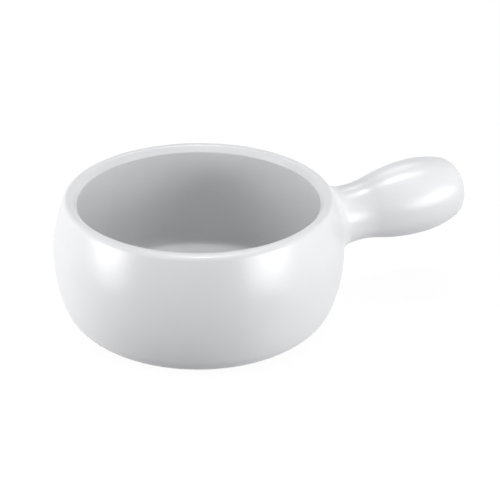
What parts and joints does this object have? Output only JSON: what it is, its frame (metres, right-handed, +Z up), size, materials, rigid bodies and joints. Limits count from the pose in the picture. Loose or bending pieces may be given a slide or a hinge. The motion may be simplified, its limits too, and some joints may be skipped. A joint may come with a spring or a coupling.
{
  "type": "onion soup crock",
  "caption": "Round-bellied glazed ceramic soup crock with a thick rim, an unglazed foot ring and a hollow bulb-shaped handle that slopes up from the shoulder, for baking and serving soup.",
  "frame": {"origin": "on the bowl axis, in the plane of the foot ring that the crock stands on", "axes": "+Z up along the bowl axis, +X towards the handle"},
  "size_m": [0.1846, 0.125, 0.0602],
  "materials": {
    "fired_clay": "unglazed fired clay, matt, bare only at the foot ring and in the vent",
    "fired_slip": "fired joining slip, hidden under the glaze",
    "inside_glaze": "smooth glossy white glaze",
    "outside_glaze": "smooth glossy white glaze"
  },
  "bodies": {
    "root": {"bowl_body": "fired_clay", "handle_shell": "fired_clay", "luting_slip": "fired_slip", "liner_glaze": "inside_glaze", "outer_glaze": "outside_glaze", "foot_well_glaze": "outside_glaze"}
  },
  "joints": []
}
